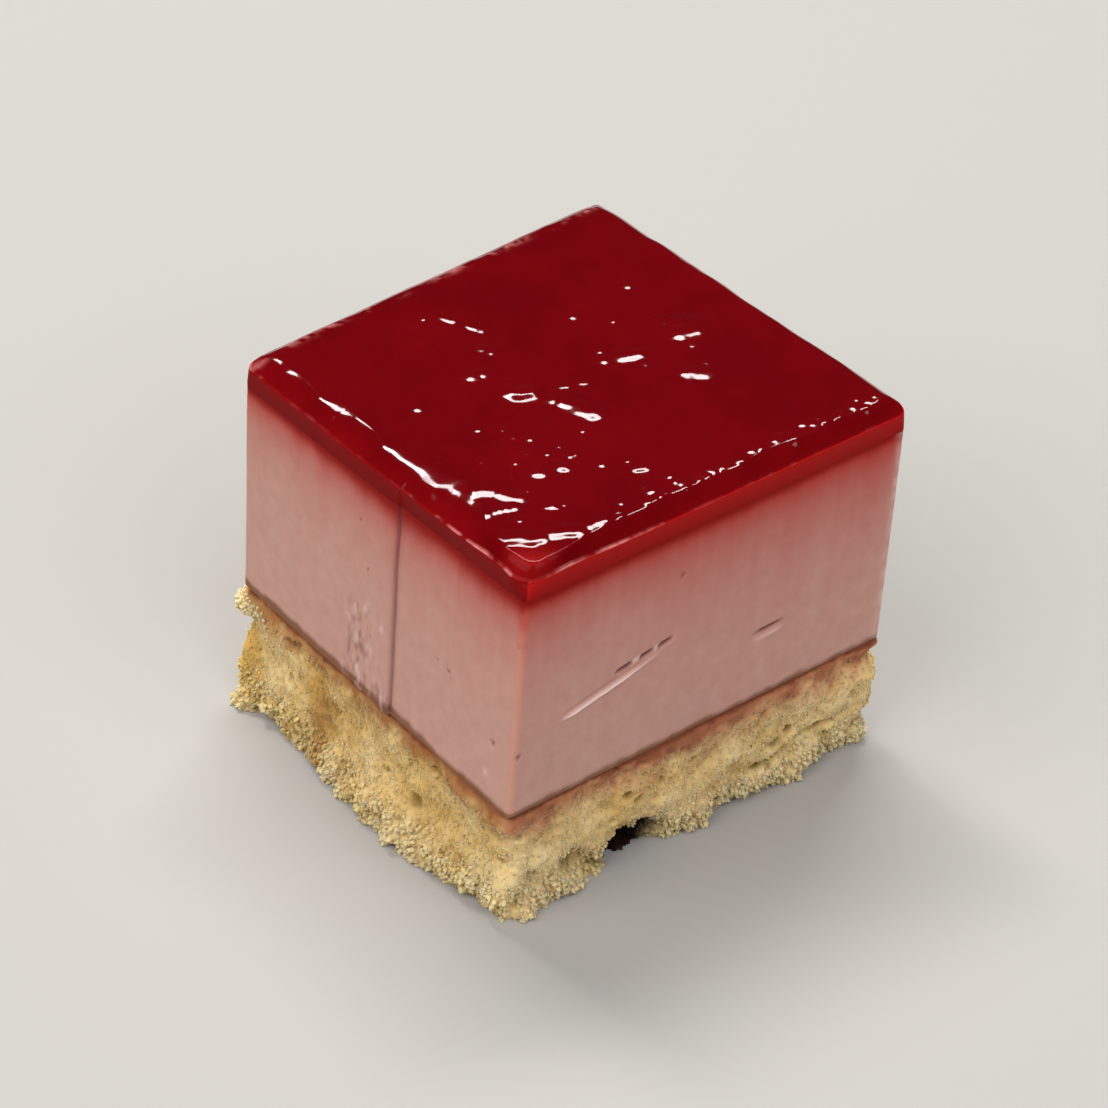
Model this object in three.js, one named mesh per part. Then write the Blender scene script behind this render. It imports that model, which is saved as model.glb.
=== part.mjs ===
// A square of layered mousse cake: a crumbly sponge base, a block of pink fruit mousse and a red jelly top.
// Millimetres, +Z up. The origin lies on the table, under the middle of the cake.
// The -Y face is the one that was cut in two strokes, and +X is the face beside it.
import * as THREE from "three";
import { ImprovedNoise } from "three/addons/math/ImprovedNoise.js";
import { mergeVertices } from "three/addons/utils/BufferGeometryUtils.js";

// Driving dimensions: the three layers
const SPONGE_HEIGHT = 10.3;
const MOUSSE_HEIGHT = 19.6;
const JELLY_HEIGHT = 2.6;
const MOUSSE_TOP = SPONGE_HEIGHT + MOUSSE_HEIGHT;
const CAKE_TOP = MOUSSE_TOP + JELLY_HEIGHT;

// Corners of the block in plan, counterclockwise from -X -Y, on the table, at the mousse's foot and its top:
// it was cut by eye, so it isn't quite square, and it leans towards +Y as it rises
const BASE_CORNERS = [[-16.9, -19.8], [16.7, -18.5], [18.5, 16.4], [-17.2, 16.9]];
const FOOT_CORNERS = [[-17.6, -18.1], [16.6, -18.7], [17.9, 17.1], [-17.2, 17]];
const TOP_CORNERS = [[-16.6, -17.7], [16.5, -17.2], [17.9, 17.9], [-17.4, 17.1]];
const HALF = 17.2;

// The step that the second cutting stroke left up the -Y face
const STEP_X = 2;
const STEP_OUT = 0.2;
const MOUSSE_CORNER = 0.5;
const MOUSSE_STEPS = 6;

// Sponge: relief of the torn crumb, its broken lower edge, a bulge pressed out low on the -Y face, and one
// missing crumb on the +X face
const SPONGE_CORNER = 1.4;
const SPONGE_POINTS = 176;
const SPONGE_ROWS = 11;
const CRAG_SIZE = 3.4;
const CRAG_HEIGHT = 0.75;
const CRUMB_SIZE = 1.5;
const CRUMB_HEIGHT = 0.45;
const FOOT_INSET = 0.6;
const LIP_INSET = 0.15;
const LIP_RISE = 0.5;
const WALL_START = 1.1;
const BULGE_X = 5;
const BULGE_HALF_WIDTH = 7.5;
const BULGE_OUT = 1.4;
const BULGE_RISE = 6;
const NOTCH_Y = -5.8;
const NOTCH_HALF_WIDTH = 1.5;
const NOTCH_DEPTH = 3;
const NOTCH_RISE = 3.2;

// Jelly: its cut edge is dragged down, furthest over the -Y face, and its top ripples
const JELLY_CORNER = 0.6;
const JELLY_POINTS = 120;
const EDGE_DROP = 0.9;
const SHOULDER = 1.3;
const WIDE_SHOULDER = 3.2;
const RIPPLE_SIZE = 4.2;
const RIPPLE_HEIGHT = 0.16;
const TOP_INSETS = [0.25, 0.7, 1.3, 2, 2.8, 3.7, 5, 7, 9.5, 12, 14.5];

const noise = new ImprovedNoise();
const smooth = THREE.MathUtils.smoothstep;

// Moves a point of the upright square block to where the uneven block has it: the four corners share the
// point by its distance to each side, and the corners of two heights share it by its height between them.
function settle(point) {
  const inSponge = point.z < SPONGE_HEIGHT;
  const [low, high] = inSponge ? [BASE_CORNERS, FOOT_CORNERS] : [FOOT_CORNERS, TOP_CORNERS];
  const rise = inSponge ? point.z / SPONGE_HEIGHT : Math.min((point.z - SPONGE_HEIGHT) / MOUSSE_HEIGHT, 1);
  const u = (point.x / HALF + 1) / 2;
  const v = (point.y / HALF + 1) / 2;
  const shares = [(1 - u) * (1 - v), u * (1 - v), u * v, (1 - u) * v];
  const settled = new THREE.Vector3(0, 0, point.z);
  shares.forEach((share, i) => {
    settled.x += share * THREE.MathUtils.lerp(low[i][0], high[i][0], rise);
    settled.y += share * THREE.MathUtils.lerp(low[i][1], high[i][1], rise);
  });
  return settled;
}

// Rounded outline of the upright block, counterclockwise; left of the step its -Y side stands out.
function outline(corner, step = 0) {
  const middle = HALF - corner;
  const quarter = Math.PI / 2;
  const shape = new THREE.Shape();
  shape.moveTo(STEP_X, -HALF);
  shape.absarc(middle, -middle, corner, -quarter, 0);
  shape.absarc(middle, middle, corner, 0, quarter);
  shape.absarc(-middle, middle, corner, quarter, 2 * quarter);
  shape.absarc(-middle, -middle - step, corner, 2 * quarter, 3 * quarter);
  shape.lineTo(STEP_X, -HALF - step);
  shape.closePath();
  return shape;
}

// Evenly spaced points round the outline, each with its outward direction.
function walkRound(count, corner, step = 0) {
  const path = outline(corner, step);
  return Array.from({ length: count }, (_, i) => {
    const along = path.getTangent(i / count);
    return { at: path.getPoint(i / count), out: new THREE.Vector2(along.y, -along.x) };
  });
}

// Closed skin over rings with equally many points, from the bottom ring to the last; each end closes on
// its own middle.
function skin(rings) {
  const count = rings[0].length;
  const ends = [rings[0], rings.at(-1)].map((ring) => {
    return ring.reduce((sum, point) => sum.add(point), new THREE.Vector3()).divideScalar(count);
  });
  const last = (rings.length - 1) * count;
  const under = last + count;
  const over = under + 1;
  const index = [];
  for (let i = 0; i < count; i++) {
    const next = (i + 1) % count;
    for (let start = 0; start < last; start += count) {
      index.push(start + i, start + next, start + next + count);
      index.push(start + i, start + next + count, start + i + count);
    }
    index.push(under, next, i);
    index.push(over, last + i, last + next);
  }
  return new THREE.BufferGeometry().setFromPoints([...rings.flat(), ...ends]).setIndex(index);
}

// Height of the torn crumb at a point: broad crags with finer crumbs on them.
function crumb(x, y, z) {
  const crags = CRAG_HEIGHT * noise.noise(x / CRAG_SIZE, y / CRAG_SIZE, z / CRAG_SIZE);
  const crumbs = CRUMB_HEIGHT * noise.noise(x / CRUMB_SIZE, y / CRUMB_SIZE, z / CRUMB_SIZE);
  return crags + crumbs;
}

// Depth of the missing crumb, low on the +X face.
function notch(at, out, z) {
  const across = (at.y - NOTCH_Y) / NOTCH_HALF_WIDTH;
  return out.x > 0.9 ? NOTCH_DEPTH * Math.exp(-across * across) * smooth(NOTCH_RISE - z, 0, NOTCH_RISE) : 0;
}

// How far the sponge bulges low on the -Y face.
function bulge(at, out, z) {
  const across = (at.x - BULGE_X) / BULGE_HALF_WIDTH;
  return out.y < -0.9 ? BULGE_OUT * Math.exp(-across * across) * smooth(BULGE_RISE - z, 0, BULGE_RISE) : 0;
}

function spongeGeometry() {
  const walk = walkRound(SPONGE_POINTS, SPONGE_CORNER);
  const levels = [
    { z: 0, inset: FOOT_INSET, ragged: 0 },
    { z: LIP_RISE, inset: LIP_INSET, ragged: LIP_RISE },
  ];
  for (let row = 0; row <= SPONGE_ROWS; row++) {
    const z = THREE.MathUtils.lerp(WALL_START, SPONGE_HEIGHT, row / SPONGE_ROWS);
    levels.push({ z, inset: 0, ragged: 0 });
  }
  const rings = levels.map(({ z, inset, ragged }) =>
    walk.map(({ at, out }) => {
      const relief = crumb(at.x, at.y, z);
      const shrink = 1 - inset / HALF;
      const push = relief + bulge(at, out, z) - notch(at, out, z);
      const [x, y] = [at.x * shrink + out.x * push, at.y * shrink + out.y * push];
      return settle(new THREE.Vector3(x, y, z + ragged * relief));
    }),
  );
  return skin(rings);
}

function mousseGeometry() {
  const block = new THREE.ExtrudeGeometry(outline(MOUSSE_CORNER, STEP_OUT), {
    depth: MOUSSE_HEIGHT,
    steps: MOUSSE_STEPS,
    bevelEnabled: false,
    curveSegments: 4,
  });
  block.deleteAttribute("normal");
  block.deleteAttribute("uv");
  const merged = mergeVertices(block);
  const position = merged.getAttribute("position");
  for (let i = 0; i < position.count; i++) {
    const point = new THREE.Vector3().fromBufferAttribute(position, i);
    point.z += SPONGE_HEIGHT;
    position.setXYZ(i, ...settle(point).toArray());
  }
  return merged;
}

// Jelly surface over a point of the outline, drawn inwards: the dragged edge, its shoulder and the ripples.
function jellyTop(at, out, inset) {
  const shrink = 1 - inset / HALF;
  const [x, y] = [at.x * shrink, at.y * shrink];
  const shoulder = THREE.MathUtils.lerp(SHOULDER, WIDE_SHOULDER, smooth(-out.y, 0, 1));
  const drop = EDGE_DROP * (1 - smooth(inset, 0, shoulder));
  const ripple = RIPPLE_HEIGHT * noise.noise(x / RIPPLE_SIZE, y / RIPPLE_SIZE, 0.5);
  return settle(new THREE.Vector3(x, y, CAKE_TOP - drop + ripple));
}

function jellyGeometry() {
  const walk = walkRound(JELLY_POINTS, JELLY_CORNER, STEP_OUT);
  const bottom = walk.map(({ at }) => settle(new THREE.Vector3(at.x, at.y, MOUSSE_TOP)));
  const edge = walk.map(({ at, out }) => jellyTop(at, out, 0));
  const top = TOP_INSETS.map((inset) => walk.map(({ at, out }) => jellyTop(at, out, inset)));
  return skin([bottom, edge, ...top]);
}

function layer(name, geometry, colour, roughness) {
  geometry.computeVertexNormals();
  const material = new THREE.MeshStandardMaterial({ color: colour, roughness, metalness: 0 });
  const mesh = new THREE.Mesh(geometry, material);
  mesh.name = name;
  return mesh;
}

const cake = new THREE.Group();
cake.add(layer("sponge", spongeGeometry(), "#d6bc84", 0.95));
cake.add(layer("mousse", mousseGeometry(), "#c9998c", 0.55));
cake.add(layer("jelly", jellyGeometry(), "#7c0810", 0.12));

// The layers move together, so that the origin is under the middle of the whole cake.
const middle = new THREE.Box3().setFromObject(cake).getCenter(new THREE.Vector3());
for (const mesh of cake.children) mesh.position.set(-middle.x, -middle.y, 0);

export default cake;
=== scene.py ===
# %% [markdown]
# # A square of layered mousse cake
# The cake has three layers: a crumbly sponge base, a tall block of pink fruit mousse and a thin red jelly.
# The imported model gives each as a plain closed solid, in metres, with +Z up and the table at z = 0. Here
# each solid gets a fine skin of the same form, worked out with numpy, and a material made from what the
# layer is. We work in millimetres, and change to metres when a mesh is made.

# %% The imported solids
import bpy
import numpy as np
from mathutils import Matrix, Vector


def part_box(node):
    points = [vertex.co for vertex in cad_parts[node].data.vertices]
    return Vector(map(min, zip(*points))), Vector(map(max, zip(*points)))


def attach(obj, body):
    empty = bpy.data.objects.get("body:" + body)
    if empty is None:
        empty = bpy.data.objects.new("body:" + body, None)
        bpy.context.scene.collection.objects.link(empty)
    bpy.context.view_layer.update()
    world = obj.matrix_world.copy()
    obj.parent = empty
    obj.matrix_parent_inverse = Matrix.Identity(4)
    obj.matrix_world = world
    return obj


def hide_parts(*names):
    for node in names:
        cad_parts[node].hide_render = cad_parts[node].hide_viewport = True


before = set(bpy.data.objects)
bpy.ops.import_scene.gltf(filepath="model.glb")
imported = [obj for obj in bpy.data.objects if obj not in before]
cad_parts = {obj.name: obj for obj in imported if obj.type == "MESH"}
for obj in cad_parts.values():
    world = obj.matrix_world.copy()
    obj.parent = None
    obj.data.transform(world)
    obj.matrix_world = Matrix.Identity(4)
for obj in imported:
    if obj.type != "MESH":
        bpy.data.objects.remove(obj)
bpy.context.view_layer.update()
MM = 0.001
SPONGE_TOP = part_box("sponge")[1].z / MM
MOUSSE_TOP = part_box("mousse")[1].z / MM
CAKE_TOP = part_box("jelly")[1].z / MM
print(f"sponge to {SPONGE_TOP:.1f} mm, mousse to {MOUSSE_TOP:.1f} mm, jelly to {CAKE_TOP:.1f} mm")

# %% [markdown]
# ## The uneven block
# The cake was cut by eye: its plan isn't quite square, and it leans. Modelled askew, no formula would stay
# simple, so every layer is made on an upright square block, and then each point moves: the real block's
# four corners share it between them (a bilinear blend), and the corners of two heights share it by its own
# height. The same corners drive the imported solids.

# %% Settling a point into the uneven block
HALF = 17.2   # mm, half a side of the upright block
CORNERS = np.array([
    [[-16.9, -19.8], [16.7, -18.5], [18.5, 16.4], [-17.2, 16.9]],   # on the table
    [[-17.6, -18.1], [16.6, -18.7], [17.9, 17.1], [-17.2, 17.0]],   # at the mousse's foot
    [[-16.6, -17.7], [16.5, -17.2], [17.9, 17.9], [-17.4, 17.1]],   # at the mousse's top
])
shift = np.array(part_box("mousse")[1])[:2] / MM - CORNERS[1:].reshape(-1, 2).max(0)


def settle(p):
    """Corner shares (1-u)(1-v), u(1-v), uv, (1-u)v of each point, times corners blended by height."""
    u, v = (p[..., 0] / HALF + 1) / 2, (p[..., 1] / HALF + 1) / 2
    shares = np.stack([(1 - u) * (1 - v), u * (1 - v), u * v, (1 - u) * v], -1)
    level = np.interp(p[..., 2], [0, SPONGE_TOP, MOUSSE_TOP], [0, 1, 2])
    low = np.minimum(level.astype(int), 1)
    rise = (level - low)[..., None, None]
    corners = CORNERS[low] * (1 - rise) + CORNERS[low + 1] * rise
    return np.concatenate([np.einsum("...c,...ca->...a", shares, corners) + shift, p[..., 2:]], -1)


print("the block's own middle:", shift.round(2), "mm")

# %% [markdown]
# ## Camera
# We look down over the upright edge between the -Y and the +X face. The distance decides the perspective
# and the lens only the size, so the distance is settled first. A tracking constraint could aim the camera;
# here right, up and back are written out as the columns of its matrix, because the jelly needs them later.

# %% The camera
AZIMUTH, ELEVATION, ROLL = np.radians([50.5, 38.78, 1.12])
AIM = np.array([-0.48, -0.73, 15.5])
EYE_DISTANCE = 289.0   # mm
FOCAL_LENGTH, SENSOR_WIDTH = 121.3, 36

level_back = np.array([np.sin(AZIMUTH), -np.cos(AZIMUTH)])
back = np.append(level_back * np.cos(ELEVATION), np.sin(ELEVATION))
level_right = np.array([np.cos(AZIMUTH), np.sin(AZIMUTH), 0])
level_up = np.cross(back, level_right)
right = level_right * np.cos(ROLL) + level_up * np.sin(ROLL)
up = level_up * np.cos(ROLL) - level_right * np.sin(ROLL)
eye = (AIM + np.append(shift, 0) + back * EYE_DISTANCE) * MM

lens = bpy.data.cameras.new("camera")
lens.sensor_width, lens.lens, lens.clip_start = SENSOR_WIDTH, FOCAL_LENGTH, 0.01
camera = bpy.data.objects.new("camera", lens)
axes = np.stack([right, up, back], 1)
camera.matrix_world = Matrix([[*row, place] for row, place in zip(axes, eye)] + [[0, 0, 0, 1]])
bpy.context.scene.collection.objects.link(camera)
bpy.context.scene.camera = camera
print("camera at", eye.round(3), "m")

# %% [markdown]
# ## Floor
# A pale matt floor lets the cake's colours speak. Three helpers come with it and serve every finish: for a
# hex colour, for a shader node with its sockets filled, and for a new material.

# %% Floor
FLOOR_REACH = 3.0   # m


def srgb(code):
    """Linear colour of an sRGB hex code: each channel undoes the sRGB curve."""
    c = np.array([int(code[i:i + 2], 16) for i in (1, 3, 5)]) / 255
    return (*np.where(c <= 0.04045, c / 12.92, ((c + 0.055) / 1.055) ** 2.4), 1.0)


def add(tree, kind, inputs=None, **settings):
    """Adds a shader node, sets its options, and fills each input with a value or a link."""
    made = tree.nodes.new("ShaderNode" + kind)
    for name, value in settings.items():
        setattr(made, name, value)
    for name, value in (inputs or {}).items():
        if isinstance(value, bpy.types.NodeSocket):
            tree.links.new(value, made.inputs[name])
        else:
            made.inputs[name].default_value = value
    return made


def material(name):
    """A new material with an empty node tree and its output node."""
    made = bpy.data.materials.new(name)
    made.use_nodes = True
    made.node_tree.nodes.clear()
    return made, made.node_tree, made.node_tree.nodes.new("ShaderNodeOutputMaterial")


floor_mesh = bpy.data.meshes.new("floor")
floor_corners = [(a * FLOOR_REACH, b * FLOOR_REACH, 0) for a, b in ((-1, -1), (1, -1), (1, 1), (-1, 1))]
floor_mesh.from_pydata(floor_corners, [], [(0, 1, 2, 3)])
floor = bpy.data.objects.new("floor", floor_mesh)
bpy.context.scene.collection.objects.link(floor)
floor_paint, tree, output = material("pale_matt_paint")
paint = add(tree, "BsdfPrincipled", {
    "Base Color": srgb("#a5a29c"), "Roughness": 0.9, "Specular IOR Level": 0.2})
tree.links.new(paint.outputs[0], output.inputs[0])
floor_mesh.materials.append(floor_paint)
print("floor:", 2 * FLOOR_REACH, "m square")

# %% [markdown]
# ## Light
# The jelly's flat top mirrors whatever is low behind the cake, so that side stays dark, and the red isn't
# washed out. Two broad softboxes on the camera's side light the cut faces, the right one weaker and cooler.
# Two small lamps, high behind and to the left, are mirrored only by slopes of about 12 and 17 degrees: they
# draw the glints. Two angles and a distance place a lamp more plainly than x, y and z.

# %% Lights
def lamp(name, azimuth, elevation, distance, width, height, power, colour=(1, 1, 1)):
    """A rectangular lamp on a sphere about the cake, turned to face it: degrees, metres and watts."""
    a, e = np.radians([azimuth, elevation])
    towards = Vector((np.sin(a) * np.cos(e), -np.cos(a) * np.cos(e), np.sin(e)))
    light = bpy.data.lights.new(name, "AREA")
    light.shape = "RECTANGLE"
    light.size, light.size_y, light.energy, light.color = width, height, power, colour
    made = bpy.data.objects.new(name, light)
    made.location = Vector((0, 0, 0.02)) + towards * distance
    made.rotation_euler = towards.to_track_quat("Z", "Y").to_euler()
    bpy.context.scene.collection.objects.link(made)


lamp("left_softbox", 0, 50, 1.3, 1.1, 1.0, 13.9)
lamp("right_softbox", 88, 50, 1.3, 0.9, 1.0, 10.3, (0.98, 1.0, 1.07))
lamp("ceiling_lamp", 238, 62, 0.8, 0.54, 0.14, 6.2)
lamp("side_lamp", -96, 54, 0.8, 0.13, 0.13, 1.3)
world = bpy.data.worlds.new("room")
world.use_nodes = True
room_light = world.node_tree.nodes["Background"]
room_light.inputs["Color"].default_value = srgb("#8a8a8a")
room_light.inputs["Strength"].default_value = 0.1
bpy.context.scene.world = world
bpy.context.scene.view_settings.view_transform = "Standard"
print("lamps:", len(bpy.data.lights))

# %% [markdown]
# ## Two kinds of unevenness
# Crumb, ripples and drag marks come from two noises. One gives random heights to the corners of little
# cubes and blends between them: soft lumps. The other scatters one point in each cube and measures how far
# the nearest is: round granules and pores. Blender's own noises work in materials, but here the skin itself
# moves, so both are written out for whole arrays. The same seed gives the same cake.

# %% Lumps and granules
TWIST = np.array(Matrix.Rotation(0.7, 3, Vector((1.0, 0.6, 0.8))))   # turns the cubes, so that no grid shows


def cell_number(cell, seed):
    """An even random number in 0..1 for each cube: large odd factors, then the bits are mixed."""
    h = cell.astype(np.int64) @ np.array([374761393, 668265263, 1442695041]) + seed * 1274126177
    h = (h ^ (h >> 13)) * 1274126177
    h = (h ^ (h >> 16)) * 668265263
    return ((h ^ (h >> 15)) & 0xFFFFFF) / 0xFFFFFF


def lumps(p, size, seed):
    """Noise from -1 to 1: random heights at the corners of cubes of this size, blended by t*t*(3-2t)."""
    q = p @ TWIST / size
    low = np.floor(q)
    t = q - low
    t = t * t * (3 - 2 * t)
    heights = sum(np.prod(np.where(corner, t, 1 - t), -1) * cell_number(low + corner, seed)
                  for corner in np.ndindex(2, 2, 2))
    return 2 * heights - 1


def granules(p, size, seed):
    """Distance to the nearest scattered point, one in each cube of this size, counted in cubes."""
    q = p @ TWIST / size
    low = np.floor(q)
    nearest = np.full(q.shape[:-1], 4.0)
    for step in np.ndindex(3, 3, 3):
        cell = low + step - 1
        spot = cell + np.stack([cell_number(cell, seed + axis) for axis in range(3)], -1)
        nearest = np.minimum(nearest, np.linalg.norm(q - spot, axis=-1))
    return nearest


sample = np.random.default_rng(1).random((500, 3)) * 9
print(f"lumps to {lumps(sample, 1, 1).max():.2f}, granules to {granules(sample, 1, 1).max():.2f}")

# %% [markdown]
# ## Saying where
# Noise is the same everywhere, but a stain or a notch has a place. A soft step, a window of two steps and a
# bell say where something holds. Multiplied by a noise or a depth, they give forms that fade out with no
# hard line.

# %% Steps, windows and bells
def soft_step(value, start, end):
    """0 before start, 1 after end, and t*t*(3-2t) between."""
    t = np.clip((value - start) / (end - start), 0, 1)
    return t * t * (3 - 2 * t)


def window(value, opens, opened, closes, closed):
    """0, then 1 between opened and closes, then 0 again: one soft step up times one down."""
    return soft_step(value, opens, opened) * (1 - soft_step(value, closes, closed))


def hump(value, middle, half_width):
    """A bell exp(-((value - middle) / half_width)^2)."""
    return np.exp(-(((value - middle) / half_width) ** 2))


def from_corner(at, x, y):
    """Distance in plan to an upright edge of the block, which is named by the signs of its x and y."""
    return np.hypot(at[..., 0] - x * HALF, at[..., 1] - y * HALF)


print("a bell, one half width out:", hump(1.0, 0, 1).round(2))

# %% [markdown]
# ## Skins
# Sponge and mousse are walls round a square, so each is a stack of rings: a rounded square carried up the
# cake. A cube with bevel and subdivision would give the block too, but not the outward direction at every
# place, along which all relief is pushed.

# %% Rings
def outline(walk, corner):
    """Places at these shares of the way round a rounded square, and the outward direction there: straight
    along a side, then an arc sin, cos about the corner's middle, turned by 90 degrees for each side."""
    straight, bend = 2 * (HALF - corner), corner * np.pi / 2
    side, along = np.divmod(walk * 4 * (straight + bend), straight + bend)
    arc = np.maximum(along - straight, 0) / corner
    x = np.minimum(along, straight) - (HALF - corner) + corner * np.sin(arc)
    y = -(HALF - corner) - corner * np.cos(arc)
    c, s = np.cos(side * np.pi / 2), np.sin(side * np.pi / 2)
    at = np.stack([c * x - s * y, s * x + c * y], -1)
    facing = side * np.pi / 2 + arc - np.pi / 2
    return at, np.stack([np.cos(facing), np.sin(facing)], -1)


def stack_up(at, height):
    """Carries a ring of places up to each height: an array (heights, places, 3)."""
    z = np.broadcast_to(height[:, None, None], (len(height), len(at), 1))
    return np.concatenate([np.broadcast_to(at, (len(height), *at.shape)), z], -1)


def pushed(rings, out, push, sink=0):
    """Moves each point out by its push, along the outline's direction, and down by its sink."""
    plan = rings[..., :2] + out * push[..., None]
    return np.concatenate([plan, (rings[..., 2] - sink)[..., None]], -1)


print("four places round a ring:", outline(np.arange(4) / 4, 1.0)[0].round(1).tolist())

# %% [markdown]
# Quads join neighbouring rings, and a fan of triangles closes each end. Masks for the materials go on the
# mesh as point attributes, so they stay with the points.

# %% From rings to a piece
def ring_skin(rings):
    """Points and faces of a closed skin over rings (rows, count, 3), bottom first."""
    rows, count, _ = rings.shape
    index = np.arange(rows * count).reshape(rows, count)
    after = np.roll(index, -1, 1)
    quads = np.stack([index[:-1], after[:-1], after[1:], index[1:]], -1).reshape(-1, 4)
    middle = np.full(count, rows * count)
    under = np.stack([middle, after[0], index[0]], -1)
    over = np.stack([middle + 1, index[-1], after[-1]], -1)
    points = np.concatenate([rings.reshape(-1, 3), rings[[0, -1]].mean(1)])
    return points, quads.tolist() + under.tolist() + over.tolist()


def with_ends(mask, under=0.0, over=0.0):
    """A mask over rings, and its values at the middles of the two fans."""
    return np.append(mask, [under, over])


def make_piece(name, points, faces, finish, node, **masks):
    """Makes a mesh of points (mm) and faces, stores each mask, and rides the piece on the cake."""
    mesh = bpy.data.meshes.new(name)
    mesh.from_pydata(points * MM, [], faces)
    for mask, values in masks.items():
        stored = mesh.attributes.new(mask, "FLOAT", "POINT")
        stored.data.foreach_set("value", np.asarray(values, np.float32).ravel())
    mesh.materials.append(finish)
    mesh.shade_smooth()
    mesh.set_sharp_from_angle(angle=np.radians(55))
    made = bpy.data.objects.new(name, mesh)
    bpy.context.scene.collection.objects.link(made)
    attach(made, "root")
    print(f"{name}: {len(points)} points, {sum(len(face) - 2 for face in faces)} triangles")
    return made


# %% [markdown]
# ## Sponge finish
# The base is a baked egg sponge, torn rather than cut clean: matt and pale yellow. Juice has soaked in from
# above: brown along the top, with painted shadow under the mousse's edge, tan below it on the -Y face and
# rosy on the +X face. One noise could mottle it, but each stain has its place, so each is a mask on the
# mesh, and tints are laid over the crumb one by one. Light and shade are painted the same way: paler where
# crumb stands out, golden shade in pores, cracks and pits, and near black shade inside the hole.

# %% Sponge material
SPONGE_GRAIN = 0.3   # mm, the finest crumb grain
SPONGE_TINTS = [("pale", "#ebcf95"), ("depth", "#a4863f"), ("soaked", "#a0693d"),
                ("rosy", "#b96e50"), ("stain", "#79422b"), ("dark", "#1d0d06")]


def noise(tree, place, size, detail):
    """Cloudy noise with blobs of about this many millimetres."""
    made = add(tree, "TexNoise", {"Vector": place, "Scale": 1 / (size * MM), "Detail": detail})
    return made.outputs["Fac"]


def tint(tree, mask, below, code):
    """Lays a colour over the one below it, as far as the mesh's mask of this name says."""
    amount = add(tree, "Attribute", attribute_name=mask)
    mixed = add(tree, "Mix", {0: amount.outputs["Fac"], 6: below, 7: srgb(code)}, data_type="RGBA")
    return mixed.outputs[2]


sponge_finish, tree, output = material("torn_egg_sponge")
place = add(tree, "TexCoord").outputs["Object"]
colour = srgb("#d0a65a")
for mask, code in SPONGE_TINTS:
    colour = tint(tree, mask, colour, code)
bump = add(tree, "Bump", {
    "Height": noise(tree, place, SPONGE_GRAIN, 3.0), "Strength": 0.4, "Distance": 0.15 * MM})
crumb_shader = add(tree, "BsdfPrincipled", {
    "Base Color": colour, "Roughness": 0.95, "Specular IOR Level": 0.15, "Normal": bump.outputs["Normal"],
    "Subsurface Weight": 0.6, "Subsurface Radius": (1.0, 0.75, 0.4), "Subsurface Scale": 1.0 * MM})
tree.links.new(crumb_shader.outputs[0], output.inputs[0])
print("finish:", sponge_finish.name)

# %% [markdown]
# ## Sponge
# Every form of the torn sponge is a push in or out along the outline's direction, so the skin never folds.
# Rings and places lie about an eighth of a millimetre apart, because crumb is fine. Below, the -Y face is
# called the front and the +X face the right, and x or y measures the way along them.

# %% Sponge rings
SPONGE_POINTS, SPONGE_ROWS, SPONGE_CORNER = 1180, 78, 1.2
at, out = outline(np.arange(SPONGE_POINTS) / SPONGE_POINTS, SPONGE_CORNER)
height = np.concatenate([[0, 0.03, 0.12], np.linspace(0.25, SPONGE_TOP, SPONGE_ROWS)])
upright = stack_up(at, height)
x, y, z = at[:, 0], at[:, 1], upright[..., 2]
on_front, on_right = out[:, 1] < -0.7, out[:, 0] > 0.7
front_corner, left_corner, right_corner = (from_corner(at, *signs) for signs in ((1, -1), (-1, -1), (1, 1)))
low_down = 1 - soft_step(z, 1.5, 4.5)
below = SPONGE_TOP - z
print(f"sponge rings: {len(height)} of {SPONGE_POINTS} places")

# %% [markdown]
# Baked sponge is a foam of round pores with thin walls. The distance to scattered points gives just that: a
# hollow at each point, and a sharp wall between two. Pores of two sizes lie on broad crags, tufts stand out
# low down, and a few bubbles have left larger holes.

# %% Crags and pores
CRAGS = [(3.2, 0.42, 11), (1.6, 0.3, 12)]     # size and height in mm, and the seed
PORES = [(0.85, 0.2, 21), (0.45, 0.18, 31)]
TUFT_SIZE, BUBBLE_SIZE, BUBBLE_DEPTH = 1.5, 2.1, 0.5

near_corner = 1 - soft_step(HALF - np.abs(at).min(-1), 0.5, 3.5)
crags = sum(rise * lumps(upright, size, seed) for size, rise, seed in CRAGS)
crags = crags * (1 + 0.7 * near_corner + 0.25 * on_right)
foam = sum(depth * (granules(upright, size, seed) - 0.5) for size, depth, seed in PORES)
tufts = (0.35 + 0.65 * low_down) * (0.35 - granules(upright * [1, 1, 0.8], TUFT_SIZE, 42) ** 2)
bubbles = -BUBBLE_DEPTH * soft_step(0.26 - granules(upright, BUBBLE_SIZE, 41), 0, 0.15)
print(f"crags {crags.min():.2f}..{crags.max():.2f} mm")

# %% [markdown]
# The sponge is pressed out low on the front, in two overlapping bulges. Its lower edge is broken into bays,
# most of all on the right, and round the right corner crumb has come away under the mousse. These forms
# decide the outline, so they come before any finer one.

# %% Lower edge and bulge
bay = soft_step(lumps(upright * [1, 1, 0], 2.4, 13), -0.3, 0.8) * soft_step(front_corner, 1.0, 6.0)
bay = bay * (1 - 0.8 * on_front * hump(x, 5.0, 8.0))
bay = bay + on_right * (0.8 * window(y, -4, -1, 9, 14) + 0.6 * soft_step(y, 8, 14))
inset = (0.1 + 0.8 * bay) * (1 - soft_step(z, -0.3, 0.5 + 0.9 * bay))
bulge = 1.2 * hump(x, 0.8, 6.0) + 0.95 * hump(x, 7.5, 6.0)
bulge = on_front * bulge * (1 - soft_step(z, 0, 6))
undercut = 0.9 * hump(z, 8.7, 0.8) + 1.1 * hump(z, 2.8, 2.4)
undercut = (1 - soft_step(right_corner, 1.5, 5.0)) * undercut
print(f"bays to {inset.max():.2f} mm, bulge {bulge.max():.2f} mm")

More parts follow.
